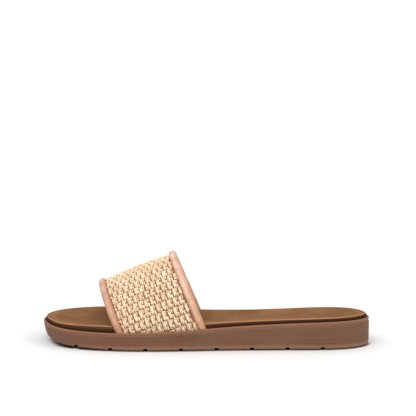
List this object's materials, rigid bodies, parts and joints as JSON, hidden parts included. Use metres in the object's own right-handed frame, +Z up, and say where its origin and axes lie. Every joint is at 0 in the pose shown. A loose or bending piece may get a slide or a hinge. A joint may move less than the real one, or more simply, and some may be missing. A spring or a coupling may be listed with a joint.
{
  "type": "slide sandal",
  "caption": "Open-toe slide sandal: a raised-rim rubber sole with a wrapped footbed, and one wide woven strap with a rolled binding on each long edge.",
  "frame": {"origin": "under the middle of the sole's length and width, on the ground plane that the sole stands on", "axes": "+X towards the heel, -Y towards the outer side of the foot, +Z up"},
  "size_m": [0.256, 0.0932, 0.0704],
  "materials": {
    "outsole": "matt foamed rubber with a fine brushed grain along the side",
    "footbed": "napped suede",
    "strap": "woven raffia with a soft sheen",
    "binding": "smooth satin leather"
  },
  "bodies": {
    "root": {"outsole": "outsole", "footbed": "footbed", "strap": "strap", "binding_front": "binding", "binding_rear": "binding"}
  },
  "joints": []
}
